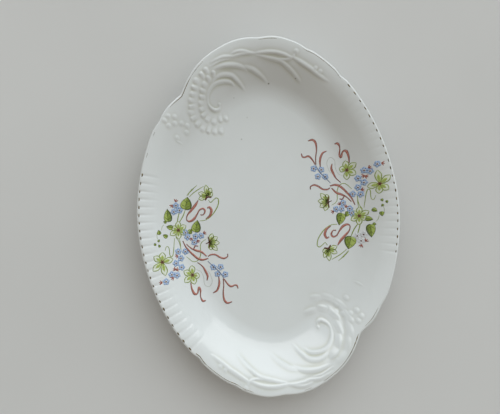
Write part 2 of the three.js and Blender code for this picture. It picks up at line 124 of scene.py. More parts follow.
# The moulded shell and scrolls of the far end, drawn from the eye of the big scroll; the near end repeats
# them after half a turn. A scroll is (points with their crest, width outside, width inside): it swells up
# gently from the rim's side and drops more steeply on the side of the well.
eye_bearing, eye_inset = 107.3, 39.0
shell_turn = np.radians(-3.9)
shell_middle = np.array((-3.0, -1.0))
scrolls = (
    (((-2.5, -11.4, 0.3), (-3.3, -13.1, 0.8), (-6.3, -14.5, 1.2), (-9.6, -13.7, 1.2), (-12.8, -11.5, 0.8),
      (-14.6, -8.4, 0.3)), 2.6, 2.4),
    (((-14.4, -7.7, 0.3), (-14.7, -3.2, 0.5), (-13.5, 1.3, 0.7), (-10.8, 5.8, 0.9), (-7.1, 8.9, 1.1),
      (-3.4, 10.6, 1.2), (0.9, 11.6, 1.2), (5.3, 11.8, 1.1), (8.5, 11.1, 0.7), (10.8, 9.6, 0.2)), 3.6, 2.1),
    (((-10.6, 9.2, 0.2), (-8.2, 12.4, 0.6), (-4.8, 15.0, 0.9), (-0.5, 16.7, 1.2), (4.4, 17.3, 1.3),
      (8.8, 16.7, 1.3), (12.4, 14.5, 1.2), (16.1, 11.7, 1.0), (19.2, 8.9, 0.6),
      (21.4, 6.7, 0.2)), 4.4, 2.2),
    (((-9.6, 21.4, 0.2), (-4.6, 23.4, 0.8), (0.4, 25.0, 1.2), (5.4, 25.8, 1.3), (10.4, 26.0, 1.3),
      (15.5, 25.7, 1.1), (20.1, 24.7, 0.7), (23.8, 23.3, 0.2)), 4.4, 2.2),
    (((19.2, 26.5, 0.2), (23.8, 25.3, 0.8), (28.4, 23.9, 1.2), (33.0, 21.7, 1.2), (37.2, 19.2, 0.9),
      (41.0, 16.5, 0.6), (44.2, 13.8, 0.1)), 4.4, 2.2),
    (((-13.1, 23.5, 0.2), (-9.1, 26, 0.5), (-4.8, 28.5, 0.6), (-1, 30.1, 0.55), (4, 31.3, 0.35),
      (7.8, 32, 0.1)), 2.0, 1.4),
    (((-12.3, 27.2, 0.2), (-7.3, 29.8, 0.7), (-1.1, 32.6, 0.9), (3.9, 33.4, 0.8), (8.9, 33.9, 0.6),
      (13.9, 35.6, 0.8), (20.2, 37.1, 0.9), (25.9, 37.8, 0.8), (29.7, 37.9, 0.4)), 3.2, 1.8),
    (((6.6, 35.6, 0.2), (10.2, 37.6, 0.6), (14.2, 38.8, 0.8), (17.6, 39.1, 0.85), (21.9, 38.9, 0.75),
      (25.6, 38.2, 0.5), (28.4, 37.4, 0.2)), 3.0, 1.7),
    (((29.7, 37.5, 0.3), (34.1, 38.3, 0.7), (39.1, 39.0, 0.9), (44.1, 39.4, 1.0), (50.4, 39.1, 1.0),
      (56.7, 37.9, 0.9), (60.5, 36.7, 0.8), (64.4, 35.1, 0.6), (67.2, 35.0, 0.5),
      (68.9, 37.0, 0.3)), 3.4, 1.9),
    (((31.7, 36.6, 0.2), (38.1, 35.5, 0.6), (44.5, 34.1, 0.8), (50.9, 32.7, 0.9), (57.1, 30.7, 0.95),
      (62.7, 26.8, 1.0), (67.1, 23.2, 1.0), (71.4, 19.0, 0.9), (75.0, 15.1, 0.6),
      (77.4, 12.5, 0.1)), 3.4, 2.1),
    (((46.5, 35.0, 0.2), (53.1, 33.6, 0.5), (59.8, 33.0, 0.65), (65.1, 33.8, 0.6),
      (68.6, 35.4, 0.3)), 2.0, 1.6),
    (((68.9, 34.0, 0.5), (74.7, 30.4, 1.1), (79.7, 27.3, 1.2), (84.8, 24.1, 1.2), (89.2, 20.9, 1.1),
      (93.6, 17.7, 0.9), (98.0, 14.8, 0.6), (103.1, 11.8, 0.1)), 4.2, 2.0),
    (((-46.5, -46.0, 0.1), (-43.0, -48.0, 0.35), (-39.5, -49.5, 0.1)), 1.8, 1.4),
)
outer_scales = ((-17.5, 20.4), (-21.8, 16.2), (-26.9, 9.8), (-29.4, 3.6), (-30.4, -2.7), (-31.6, -8.6),
                (-31.8, -14.4), (-31.4, -19.6), (-29.6, -24.8), (-25, -29.8), (-19.6, -33.2),
                (-13.8, -35.4), (-7.4, -35.8), (-1.4, -35.4))
inner_scales = ((-10, 18.4), (-15.2, 13.3), (-18.8, 7.2), (-21, 1.6), (-21.6, -4.2), (-22, -9.8),
                (-21.2, -15.4), (-19.4, -20.8), (-15, -24), (-8.4, -26), (-1.8, -24), (3.6, -22.6))
flower_beads = ((-47.1, -25.3), (-46.9, -31.2), (-52.6, -33.9), (-40.3, -30.5), (-34.8, -32),
                (-35.4, -38.1), (-56.4, -29.3), (-53.3, -25.1), (-44.7, -44.3))
berries = ((89.7, 24.5), (94.3, 21.5), (70.4, 40.6))
eye_bead = (-3.2, -8.7)
big_scroll_top = -14.5
shell_hollow = ((-19.0, 15.5, 0.3), (-23.0, 8.8, 0.8), (-25.4, 2.6, 1.0), (-26.2, -3.4, 1.0),
                (-26.8, -9.2, 1.0), (-26.4, -15.2, 1.0), (-24.6, -21.6, 1.0), (-20.4, -26.6, 0.9),
                (-12.5, -30.2, 0.6), (-6.0, -31.0, 0.2))
hollow_width = 3.8
# A scale is its length, its width to each side and its crest; a bead is its radius and its crest.
outer_scale = (4.6, 3.1, 0.95)
inner_scale = (4.2, 3.0, 0.95)
scale_unevenness = 0.14
scale_roundness, scale_sink = 1.6, 0.9
flower_bead = (3.3, 0.65)
scroll_eye = (2.1, 0.6)
# The near end came softer out of the mould: lower, drawn out towards the rim, with fewer and broader
# scales, a hollow between their two rows, and its flower closer to the shell.
mould_ends = (
    {"way": 1, "stretch": 1.0, "crispness": 1.0, "scales": slice(None), "breadth": 1.0,
     "outer_share": 1.0, "hollow_depth": 0.0, "flower_shift": (0.0, 0.0)},
    {"way": -1, "stretch": 1.1, "crispness": 0.85, "scales": slice(1, None, 2), "breadth": 2.4,
     "outer_share": 0.6, "hollow_depth": 0.55, "flower_shift": (13.6, 9.7)},
)


def moulded_on(height, near, mark):
    """Joins a mark to the relief. Where marks meet they run together softly, as wet clay does."""
    height[near] = np.cbrt(height[near] ** 3 + mark ** 3)


def raised_scroll(height, u, v, points, outside, inside):
    """Lays one scroll, thinner where its crest is lower, over the height of the points u, v."""
    line = drawn_line(points, 0.5)
    ahead = np.gradient(line[:, :2], axis=0)
    low, high = line.min(0) - outside, line.max(0) + outside
    near = np.nonzero((u > low[0]) & (u < high[0]) & (v > low[1]) & (v < high[1]))[0]
    du, dv = u[near, None] - line[:, 0], v[near, None] - line[:, 1]
    gap = np.hypot(du, dv)
    closest = gap.argmin(1)
    row = np.arange(len(near))
    left = ahead[closest, 0] * dv[row, closest] - ahead[closest, 1] * du[row, closest]
    crest = np.maximum(line[closest, 2], 0)
    width = np.where(left > 0, outside, inside) * (0.45 + 0.55 * crest / line[:, 2].max())
    moulded_on(height, near, crest * np.clip(1 - (gap[row, closest] / width) ** 2, 0, 1) ** 2)


def raised_scale(height, u, v, tip, length, spread, breadth, crest):
    """Lays one shell scale: a rounded tip that steps down to the ground and sinks away inwards."""
    tip = np.array(tip, float)
    inwards = shell_middle - tip
    inwards /= np.linalg.norm(inwards)
    near = np.nonzero(np.hypot(u - tip[0], v - tip[1]) < length + spread * breadth)[0]
    du, dv = u[near] - tip[0], v[near] - tip[1]
    inward = du * inwards[0] + dv * inwards[1]
    aside = (dv * inwards[0] - du * inwards[1]) / breadth
    along = np.clip(inward, 0, length)
    gap = np.hypot(inward - along, aside)
    rounded = np.clip(1 - (gap / spread) ** 2, 0, 1) ** scale_roundness
    moulded_on(height, near, crest * rounded * (1 - scale_sink * along / length))


def raised_bead(height, u, v, middle, radius, crest):
    """Lays one round bead."""
    gap = np.hypot(u - middle[0], v - middle[1])
    near = np.nonzero(gap < radius)[0]
    moulded_on(height, near, crest * (1 - (gap[near] / radius) ** 2) ** 2)


def raised_row(height, u, v, tips, size, phase, breadth, share):
    """Lays one row of scales, no two quite alike: they grow and shrink along the row by its phase."""
    length, spread, crest = size
    for number, tip in enumerate(tips):
        uneven = 1 + scale_unevenness * np.sin(phase[0] * number + phase[1])
        raised_scale(height, u, v, tip, length * uneven, spread / uneven, breadth, crest * share * uneven)


def moulded_relief(x, y):
    """Height of the shells and scrolls of both ends above the plain face."""
    turn = np.radians(eye_bearing)
    eye = (rim_radius(eye_bearing) - eye_inset) * np.array((np.cos(turn), np.sin(turn)))
    both_ends = np.zeros(len(x))
    for end in mould_ends:
        relief, hollow = np.zeros(len(x)), np.zeros(len(x))
        dx, dy = end["way"] * x - eye[0], end["way"] * y - eye[1]
        u = dx * np.cos(shell_turn) + dy * np.sin(shell_turn)
        v = dy * np.cos(shell_turn) - dx * np.sin(shell_turn)
        v = (v - big_scroll_top) / end["stretch"] + big_scroll_top
        outer_tips, inner_tips = outer_scales[end["scales"]], inner_scales[end["scales"]]
        raised_row(relief, u, v, outer_tips, outer_scale, (2.4, 0), end["breadth"], end["outer_share"])
        raised_row(relief, u, v, inner_tips, inner_scale, (1.9, 1), end["breadth"], 1.0)
        for points, outside, inside in scrolls:
            raised_scroll(relief, u, v, points, outside, inside)
        shift_u, shift_v = end["flower_shift"]
        for bead in flower_beads:
            raised_bead(relief, u - shift_u, v - shift_v, bead, *flower_bead)
        for bead in berries:
            raised_bead(relief, u, v, bead, *flower_bead)
        raised_bead(relief, u, v, eye_bead, *scroll_eye)
        raised_scroll(hollow, u, v, shell_hollow, hollow_width, hollow_width)
        both_ends += end["crispness"] * relief - end["hollow_depth"] * hollow
    return both_ends


def plain_face(x, y):
    """Height of the glazed face at plan points inside the lip, with the flutes and without the relief."""
    bearing = np.degrees(np.arctan2(y, x))
    radius = np.hypot(x, y)
    rise = border_section(bearing, radius - well_radius(bearing))[0]
    return well_top + rise - flute_hollow(bearing, rim_radius(bearing) - radius)


def face_height(x, y):
    """Height of the glazed face at plan points inside the lip."""
    return plain_face(x, y) + moulded_relief(x, y)


bearings = np.arange(0, 360, 0.2)
rim, well = rim_radius(bearings), well_radius(bearings)
border = rim - well
last_reach = border.copy()
for settle in range(6):
    last_reach = border - lip_radius * (1 + np.sin(border_section(bearings, last_reach)[1]))
lip_rise, lip_slope = border_section(bearings, last_reach)
lip_middle = well_top + lip_rise - lip_radius * np.cos(lip_slope)

# The body is a stack of rings, from the middle of the underside over foot ring and lip to the well.
# The foot ring is drawn as (distance from the well's edge, height).
foot_profile = ((-11.0, 3.0), (-10.0, 3.0), (-9.2, 1.9), (-8.6, 0.8), (-8.25, 0.25), (-7.7, 0.0),
                (-6.0, 0.0), (-4.3, 0.0), (-3.75, 0.25), (-3.4, 0.8), (-2.8, 1.9), (-2.0, 3.0),
                (-1.0, 3.0))
underside_shares = (0.15, 0.35, 0.55, 0.72, 0.84)
well_shares = (*np.linspace(0.993, 0.76, 35), 0.72, 0.66, 0.58, 0.48, 0.36, 0.24, 0.12)
outside_rings, lip_steps, border_rings = 17, 11, 95
rings = []
for share in underside_shares:
    rings.append((well * share, well_top - well_wall + 0 * well))
# The foot ring stays bare on its bottom, between these two points of its profile.
bare_rings = (len(rings) + 4, len(rings) + 8)
for offset, height in foot_profile:
    rings.append((well + offset, height + 0 * well))
for share in np.linspace(0, 1, outside_rings + 1)[:-1]:
    reach = share * last_reach
    rise, slope = border_section(bearings, reach)
    wall = well_wall + share * (2 * lip_radius - well_wall)
    radius = well + reach + wall * np.sin(slope)
    rings.append((radius, well_top + rise - wall * np.cos(slope) - flute_hollow(bearings, rim - radius)))
for angle in np.radians(np.linspace(-90, 90, lip_steps)):
    radius = well + last_reach + lip_radius * (np.sin(lip_slope) + np.cos(lip_slope + angle))
    height = lip_middle + lip_radius * np.sin(lip_slope + angle)
    rings.append((radius, height - flute_hollow(bearings, rim - radius)))
lip_rings = len(rings)
for share in np.linspace(1, 0, border_rings + 1)[1:]:
    rings.append((well + share * last_reach, None))
for share in well_shares:
    rings.append((well * share, None))

turn = np.radians(bearings)
body_points, face_relief = [], []
for radius, height in rings:
    x, y = radius * np.cos(turn), radius * np.sin(turn)
    if height is None:
        face_relief.append(moulded_relief(x, y))
        height = plain_face(x, y) + face_relief[-1]
    body_points.append(np.stack([x, y, height], 1))
body_points = np.vstack(body_points + [[[0, 0, well_top - well_wall], [0, 0, well_top]]])

count = len(bearings)
column = np.arange(count)
beside = (column + 1) % count
body_faces = []
for row in range(len(rings) - 1):
    below, above = row * count, (row + 1) * count
    body_faces += np.stack([below + column, below + beside, above + beside, above + column], 1).tolist()
under_middle, face_middle = len(body_points) - 2, len(body_points) - 1
last_row = (len(rings) - 1) * count
body_faces += [[under_middle, int(b), int(a)] for a, b in zip(column, beside)]
body_faces += [[face_middle, last_row + int(a), last_row + int(b)] for a, b in zip(column, beside)]


def new_piece(name, points, faces, materials):
    """A smooth mesh object from points in millimetres."""
    mesh = bpy.data.meshes.new(name)
    mesh.from_pydata((np.array(points) * 0.001).tolist(), [], faces)
    mesh.polygons.foreach_set("use_smooth", np.ones(len(mesh.polygons), bool))
    for material in materials:
        mesh.materials.append(material)
    mesh.validate()
    piece = bpy.data.objects.new(name, mesh)
    bpy.context.scene.collection.objects.link(piece)
    return piece


def new_finish(name, roughness):
    """A material with a roughness, its node tree and its shader."""
    material = bpy.data.materials.new(name)
    material.use_nodes = True
    shader = material.node_tree.nodes["Principled BSDF"]
    shader.inputs["Roughness"].default_value = roughness
    return material, material.node_tree, shader


def add_node(tree, kind, **settings):
    """A node with some of its properties and input sockets set."""
    node = tree.nodes.new(kind)
    for key, value in settings.items():
        if hasattr(node, key):
            setattr(node, key, value)
        else:
            node.inputs[key].default_value = value
    return node


def grain(tree, scale, low, high, detail=3.0):
    """Noise of so many grains to the metre, stretched so that it runs from low to high."""
    place = add_node(tree, "ShaderNodeTexCoord")
    noise = add_node(tree, "ShaderNodeTexNoise", Scale=scale, Detail=detail)
    spread = tree.nodes.new("ShaderNodeMapRange")
    spread.inputs["From Min"].default_value = 0.3
    spread.inputs["From Max"].default_value = 0.7
    spread.inputs["To Min"].default_value = low
    spread.inputs["To Max"].default_value = high
    tree.links.new(place.outputs["Object"], noise.inputs["Vector"])
    tree.links.new(noise.outputs["Fac"], spread.inputs["Value"])
    return spread.outputs["Result"]


def mixed(tree, share, first, second):
    """A colour between two colours or sockets."""
    mix = tree.nodes.new("ShaderNodeMix")
    mix.data_type = "RGBA"
    sockets = [s for s in mix.inputs if s.type == "RGBA"]
    for socket, value in zip(sockets, (first, second)):
        if isinstance(value, tuple):
            socket.default_value = (*value, 1)
        else:
            tree.links.new(value, socket)
    tree.links.new(share, mix.inputs[0])
    return next(s for s in mix.outputs if s.type == "RGBA")


def add_bump(tree, shader, height, strength, distance):
    """Fine unevenness on a finish."""
    bump = add_node(tree, "ShaderNodeBump", Strength=strength, Distance=distance)
    tree.links.new(height, bump.inputs["Height"])
    tree.links.new(bump.outputs["Normal"], shader.inputs["Normal"])


glaze, tree, shader = new_finish("white_glaze", 0.1)
shader.inputs["IOR"].default_value = 1.55
# The hollow attribute darkens the glaze in the creases of the relief: painted shade, partly pooled glaze.
hollow = add_node(tree, "ShaderNodeAttribute", attribute_name="hollow")
colour = mixed(tree, grain(tree, 22, 0, 1), (0.70, 0.715, 0.70), (0.72, 0.735, 0.725))
colour = mixed(tree, hollow.outputs["Fac"], colour, (0.54, 0.54, 0.45))
# A speck of iron burnt through the glaze is its plan place and its strength.
iron_specks = ((9.2, 131.3, 1.0), (35.2, 133.2, 0.6), (-26.3, 119.2, 0.22), (-14.1, 99.2, 0.22),
               (-21.3, 77.6, 0.4))
speck_core, speck_edge = 0.0003, 0.0011
place = add_node(tree, "ShaderNodeTexCoord")
for x, y, strength in iron_specks:
    spot = np.array((x, y, float(face_height(np.array([x]), np.array([y]))[0]))) * 0.001
    gap = add_node(tree, "ShaderNodeVectorMath", operation="DISTANCE")
    gap.inputs[1].default_value = spot
    tree.links.new(place.outputs["Object"], gap.inputs[0])
    edge = tree.nodes.new("ShaderNodeMapRange")
    edge.inputs["From Min"].default_value = speck_core
    edge.inputs["From Max"].default_value = speck_edge
    edge.inputs["To Min"].default_value = strength
    edge.inputs["To Max"].default_value = 0.0
    tree.links.new(gap.outputs["Value"], edge.inputs["Value"])
    colour = mixed(tree, edge.outputs["Result"], colour, (0.16, 0.145, 0.11))
tree.links.new(colour, shader.inputs["Base Color"])
tree.links.new(grain(tree, 60, 0.06, 0.16), shader.inputs["Roughness"])
add_bump(tree, shader, grain(tree, 140, 0, 1), 0.12, 0.0002)

biscuit, tree, shader = new_finish("bare_biscuit", 0.8)
tree.links.new(mixed(tree, grain(tree, 300, 0, 1), (0.66, 0.63, 0.57), (0.52, 0.48, 0.42)),
               shader.inputs["Base Color"])
add_bump(tree, shader, grain(tree, 900, 0, 1), 0.4, 0.0003)

body = new_piece("pressed_porcelain", body_points, body_faces, [glaze, biscuit])
bare = np.zeros(len(body.data.polygons), np.int32)
bare[bare_rings[0] * count:bare_rings[1] * count] = 1
body.data.polygons.foreach_set("material_index", bare)

# In the hollows between scales and scrolls the glaze is a shade greyer: partly glaze that pools there,
# partly painted shade where the creases fall into shade.
full_pool_and_shade_depth = 0.5
face_relief = np.array(face_relief)
around = face_relief.copy()
for shift in (1, 2, 3):
    around = (around + np.roll(around, shift, 1) + np.roll(around, -shift, 1)) / 3
    around[shift:-shift] = (around[shift:-shift] + around[2 * shift:] + around[:-2 * shift]) / 3
pooled_glaze_and_shade = np.zeros(len(body_points))
pooled_glaze_and_shade[lip_rings * count:len(rings) * count] = np.clip((around - face_relief) / full_pool_and_shade_depth, 0, 1).ravel()
# Stored as the hollow attribute: painted shade and pooled glaze for the glaze's colour.
body.data.attributes.new("hollow", "FLOAT", "POINT").data.foreach_set("value", pooled_glaze_and_shade.astype(np.float32))
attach(body, "root")
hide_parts("porcelain_body")

# Gilt end lines: liquid gold brushed on with a fine brush just inside the lip and fired last. Washing has
# thinned it, so the line swells, thins and breaks. It lies on the glaze as a film.
gold, tree, shader = new_finish("worn_gold", 0.35)
shader.inputs["Metallic"].default_value = 0.55
tree.links.new(mixed(tree, grain(tree, 400, 0, 1), (0.21, 0.145, 0.04), (0.075, 0.055, 0.018)),
               shader.inputs["Base Color"])
tree.links.new(grain(tree, 900, 0.25, 0.5), shader.inputs["Roughness"])
chance = np.random.default_rng(7)
# The line's distance inside the rim, the gold's thickness in lines and in dabs, how deep a film is bedded
# in the glaze, and the brush width below which the line is worn through.
gilt_inset = 2.5
gilt_film, dab_film = 0.05, 0.08
film_root = 0.04
worn_through = 0.12


def rim_point(bearing, inset):
    """Plan points at a bearing and a distance inside the rim."""
    radius = rim_radius(bearing) - inset
    return np.stack([radius * np.cos(np.radians(bearing)), radius * np.sin(np.radians(bearing))], -1)


def ground_height(x, y):
    """Height of the glaze at plan points, on the face or on the rounded lip."""
    bearing = np.degrees(np.arctan2(y, x)) % 360
    inset = rim_radius(bearing) - np.hypot(x, y)
    over = np.clip(lip_radius - inset, -lip_radius, lip_radius)
    on_lip = np.interp(bearing, bearings, lip_middle, period=360) + np.sqrt(lip_radius ** 2 - over ** 2)
    rounded = inset < lip_radius * (1 + np.sin(np.interp(bearing, bearings, lip_slope, period=360)))
    return np.where(rounded, on_lip - flute_hollow(bearing, inset), face_height(x, y))


def film_strip(line, widths):
    """A band along a plan line, as points and faces. The faces look up."""
    ahead = np.gradient(line, axis=0)
    ahead /= np.linalg.norm(ahead, axis=1)[:, None]
    aside = np.stack([-ahead[:, 1], ahead[:, 0]], 1) * np.asarray(widths)[:, None] / 2
    points = np.vstack([line - aside, line + aside])
    n = len(line)
    return points, [[i, i + 1, n + i + 1, n + i] for i in range(n - 1)]


def lay_film(name, films, finishes):
    """Lays films on the glaze, bedded a little into it. A film is (points, faces, finish, thickness)."""
    order = list(finishes)
    plan = np.vstack([film_points for film_points, _, _, _ in films])
    lift = np.concatenate([np.full(len(film_points), thickness) for film_points, _, _, thickness in films])
    ground = ground_height(plan[:, 0], plan[:, 1])
    points = np.vstack([np.column_stack([plan, ground + lift]), np.column_stack([plan, ground - film_root])])
    faces, numbers, start = [], [], 0
    for film_points, film_faces, finish, _ in films:
        under = start + len(plan)
        edges = {(a, b) for face in film_faces for a, b in zip(face, face[1:] + face[:1])}
        outline = [(a, b) for a, b in edges if (b, a) not in edges]
        faces += [[start + i for i in face] for face in film_faces]
        faces += [[under + i for i in reversed(face)] for face in film_faces]
        faces += [[start + b, start + a, under + a, under + b] for a, b in sorted(outline)]
        numbers += [order.index(finish)] * (2 * len(film_faces) + len(outline))
        start += len(film_points)
    piece = new_piece(name, points, faces, finishes.values())
    piece.data.polygons.foreach_set("material_index", np.array(numbers, np.int32))
    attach(piece, "root")
    return piece


def worn_width(count, thin, thick, run):
    """Brush widths along a line, wandering between thin and thick, with a new value every run samples."""
    marks = chance.uniform(thin, thick, count // run + 3)
    return np.interp(np.arange(count), np.arange(len(marks)) * run, marks)


# What is left of each line, as (bearing, brush width). A width of 0 is a gap.
worn_lines = {
    "far_end": ((57.5, 0), (60, 0.22), (64, 0.3), (70, 0.26), (73, 0.4), (75, 0.16), (77, 0), (83.5, 0),
                (85, 0.3), (89, 0.34), (91, 0), (108, 0), (111, 0.2), (114, 0.3), (116.5, 0.16),
                (118, 0.5), (126, 0.55), (128, 0.3), (131, 0), (140, 0), (142, 0.3), (144, 0), (149, 0),
                (151, 0.28), (153, 0)),
    "near_end": ((237.5, 0.5), (238.5, 0.6), (242, 0.6), (243, 0.2), (244, 0.36), (249, 0.36),
                 (250, 0.46), (254.5, 0.46), (256, 0.2), (259.5, 0.26), (261, 0), (276, 0), (277, 0.22),
                 (279, 0.22), (280, 0), (283, 0), (284, 0.3), (290, 0.36), (294, 0.36), (295, 0.46),
                 (298.6, 0.46), (299.3, 0.85), (300, 0.4), (301, 0.9), (301.8, 0.4), (303, 0),
                 (305.5, 0), (306.5, 0.22), (309, 0.3), (314, 0.3), (316, 0)),
}
for end, wear in worn_lines.items():
    wear = np.array(wear)
    sweep = np.arange(wear[0, 0], wear[-1, 0], 0.25)
    widths = np.interp(sweep, wear[:, 0], wear[:, 1]) * worn_width(len(sweep), 0.8, 1.2, 6)
    drift = worn_width(len(sweep), -0.15, 0.15, 12)
    films, kept = [], []
    for place_along, width, wander in zip(sweep, widths, drift):
        if width > worn_through:
            kept.append((place_along, width, wander))
        if kept and (width <= worn_through or place_along == sweep[-1]):
            if len(kept) > 3:
                run = np.array(kept)
                brushed = rim_point(run[:, 0], gilt_inset + run[:, 2])
                films.append((*film_strip(brushed, run[:, 1]), "gold", gilt_film))
            kept = []
    line = lay_film("worn_gilt_" + end, films, {"gold": gold})
    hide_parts("gilt_line_" + end)

# Gilt dabs: along the fluted sides the same gold has worn off every crest, and only a dark dab is left in
# each hollow. They lie on the glaze as films.
flute_pitch = (flute_end - flute_start) / flutes_per_side
for side, start, dab_inset in (("right", flute_start, 2.4), ("left", flute_start + 180, 1.9)):
    films = []
    for flute in range(flutes_per_side):
        middle = start + (flute + 0.5) * flute_pitch + chance.uniform(-0.2, 0.2)
        half = chance.uniform(0.5, 0.8)
        sweep = np.linspace(middle - half, middle + half, 17)
        fullness = np.sqrt(np.clip(1 - ((sweep - middle) / half) ** 2, 0.04, 1))
        inset = dab_inset + chance.uniform(-0.2, 0.2)
        widths = fullness * chance.uniform(0.9, 1.3)
        films.append((*film_strip(rim_point(sweep, inset), widths), "gold", dab_film))
    dabs = lay_film("worn_gilt_dabs_" + side, films, {"gold": gold})
    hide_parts("gilt_dabs_" + side)

# Green print: the stems, leaves and star flowers of each spray, printed on tissue in overglaze enamel,
# rubbed down on the border and fired on. Drawn in millimetres from the middle star, x right and y up.
# A spray is the bearing and inset of its middle star, its turn in degrees and its size.
sprays = {"left": (185.7, 38.0, 0.0, 1.0), "right": (-4.1, 35.8, 177.1, 1.037)}
spray_turn = -3.9
# Coats of enamel by thickness: what was printed later stands a little higher.
stem_coat, petal_coat, leaf_coat, core_coat = 0.06, 0.07, 0.08, 0.09
line_coat, vein_coat, ring_coat, heart_coat = 0.11, 0.12, 0.13, 0.14


def on_platter(side, points):
    """Turns and moves plan points of the drawing to their place on one side of the platter."""
    bearing, inset, heading, size = sprays[side]
    turn = np.radians(heading + spray_turn)
    x, y = size * np.asarray(points, float).T
    middle = rim_point(np.array(bearing), inset)
    return np.stack([x * np.cos(turn) - y * np.sin(turn), x * np.sin(turn) + y * np.cos(turn)], 1) + middle


def placed(side, marks):
    """The marks of the drawing, each moved to its place on one side of the platter."""
    return [(on_platter(side, points), faces, ink, coat) for points, faces, ink, coat in marks]


def unit(turn):
    """A step of one millimetre in a direction given in radians."""
    return np.array((np.cos(turn), np.sin(turn)))


def enamel(ink, colour, thin_colour):
    """Overglaze enamel: glossy, and uneven where it was printed thin."""
    material, tree, shader = new_finish(ink + "_enamel", 0.25)
    tree.links.new(mixed(tree, grain(tree, 500, 0, 1), colour, thin_colour), shader.inputs["Base Color"])
    tree.links.new(grain(tree, 700, 0.15, 0.35), shader.inputs["Roughness"])
    add_bump(tree, shader, grain(tree, 1200, 0, 1), 0.2, 0.00005)
    return material


def stroke(points, width, ink, coat):
    """A pen line through the points, which thins at its ends."""
    line = drawn_line(points, 0.5)
    along = np.linspace(0, 1, len(line))
    widths = width * (0.55 + 0.45 * np.sin(np.pi * along))
    return (*film_strip(line, widths), ink, coat)


def patch(outline, ink, coat):
    """A filled shape inside an outline, cut into rings so that it follows the hollow of the border."""
    outline = np.asarray(outline, float)
    x, y = outline.T
    if np.sum(x * np.roll(y, -1) - y * np.roll(x, -1)) < 0:
        outline = outline[::-1]
    middle = outline.mean(0)
    shares = np.linspace(1, 0, max(2, int(np.ptp(outline, 0).max() / 2.5) + 1), endpoint=False)[::-1]
    n = len(outline)
    points = np.vstack([[middle]] + [middle + share * (outline - middle) for share in shares])
    faces = [[0, 1 + i, 1 + (i + 1) % n] for i in range(n)]
    for ring in range(len(shares) - 1):
        low, high = 1 + ring * n, 1 + (ring + 1) * n
        faces += [[low + i, high + i, high + (i + 1) % n, low + (i + 1) % n] for i in range(n)]
    return points, faces, ink, coat


def petal_outline(base, tip, width):
    """A pointed petal from its base to its tip, widest beyond its middle."""
    base, tip = np.array(base, float), np.array(tip, float)
    ahead = tip - base
    aside = np.array((-ahead[1], ahead[0])) / np.linalg.norm(ahead)
    along = np.array((0.0, 0.15, 0.35, 0.62, 0.8, 0.93, 1.0))
    spread = np.array((0.10, 0.24, 0.40, 0.5, 0.36, 0.14, 0.02)) * width
    side = base + along[:, None] * ahead
    return np.vstack([side + spread[:, None] * aside, (side - spread[:, None] * aside)[::-1]])


def star_petal(base, tip, width):
    """One petal of a star flower: pale fill, green core and veins, and a drawn outline."""
    outline = petal_outline(base, tip, width)
    base, tip = np.array(base, float), np.array(tip, float)
    core = petal_outline(base, base + 0.68 * (tip - base), 0.55 * width)
    vein = [base, base + 0.4 * (tip - base), base + 0.7 * (tip - base)]
    half = len(outline) // 2
    return [patch(outline, "pale_green", petal_coat), patch(core, "yellow_green", core_coat),
            stroke(outline[:half], 0.85, "line_green", line_coat),
            stroke(outline[half:][::-1], 0.85, "line_green", line_coat),
            stroke(vein, 0.45, "line_green", line_coat)]


def leaf(middle, length, width, heading):
    """A small heart-shaped leaf: one half light and one half dark, with dark veins and a dark edge."""
    turn = np.radians(heading)
    middle = np.array(middle, float)
    ahead, aside = unit(turn), np.array((-np.sin(turn), np.cos(turn)))
    share = np.array((-0.50, -0.46, -0.34, -0.15, 0.06, 0.24, 0.38, 0.50))
    spread = np.array((0.02, 0.28, 0.46, 0.50, 0.42, 0.29, 0.13, 0.0))
    spine = middle + share[:, None] * length * ahead
    marks = []
    for way, ink, edge_width in ((1, "light_leaf", 0.35), (-1, "deep_leaf", 0.1 * length)):
        edge = spine + (way * width * spread)[:, None] * aside
        marks.append(patch(np.vstack([edge, spine[::-1][1:-1]]), ink, leaf_coat))
        marks.append(stroke(edge, edge_width, "dark_green", line_coat))
    marks.append(stroke(spine[1:], 0.5, "dark_green", line_coat))
    if length > veined_leaf:
        for root, reach in ((2, 0.40), (4, 0.30)):
            for way in (1, -1):
                tip = spine[root + 1] + way * reach * width * aside
                vein = [spine[root], 0.5 * (spine[root] + tip), tip]
                marks.append(stroke(vein, 0.4, "dark_green", vein_coat))
    return marks


def ring_points(middle, radius, count=14):
    """Points round a circle."""
    around = np.linspace(0, 2 * np.pi, count, endpoint=False)
    return np.array(middle) + radius * np.stack([np.cos(around), np.sin(around)], 1)


# A star flower is its middle, the heading and length of each petal, and the petals' width. A side flower
# is seen from the side: its base, the tips of its petals, and their width.
star_flowers = (
    ((0, 0), ((92, 8.7), (32, 8.7), (-28, 8.0), (-88, 8.9), (-148, 9.4), (158, 7.5)), 4.9),
    ((-15, -31), ((90, 9.4), (16, 10.4), (-76, 13.2), (224, 12.0), (146, 9.6)), 5.6),
    ((14, -44), ((94, 9.4), (-10, 7.2), (-77, 9.2), (222, 10.3), (156, 9.4)), 5.6),
)
side_flowers = (((31, -12), ((33.4, -3.2), (38.4, -6.5), (40.6, -12.5), (38.4, -20), (32.5, -19.5)), 4.4),
                ((28.3, 34), ((26.8, 45), (32.3, 42), (33.7, 36.8), (19.4, 37), (19.7, 30.6)), 4.4))
# A leaf is its middle, length, width and heading. Only a leaf longer than veined_leaf has side veins.
veined_leaf = 8.0
leaves = (((7.5, 26.5), 12.5, 10.6, 80), ((-10.5, 14), 12.5, 7.2, 95), ((17.5, 4), 12, 8.5, 80),
          ((11.5, -1.0), 5.5, 4.5, 60), ((-8.5, 2.5), 6.4, 4.6, 170), ((-18.5, -2.5), 4.6, 3.6, 100),
          ((-12.6, -6), 4.8, 3.8, 150), ((-13, 7.5), 3.2, 2.4, 150), ((-18.5, -10.5), 2.8, 2.0, 60),
          ((-22, -14), 2.8, 2.2, 100), ((-18, -15.5), 2.8, 2.2, 120))
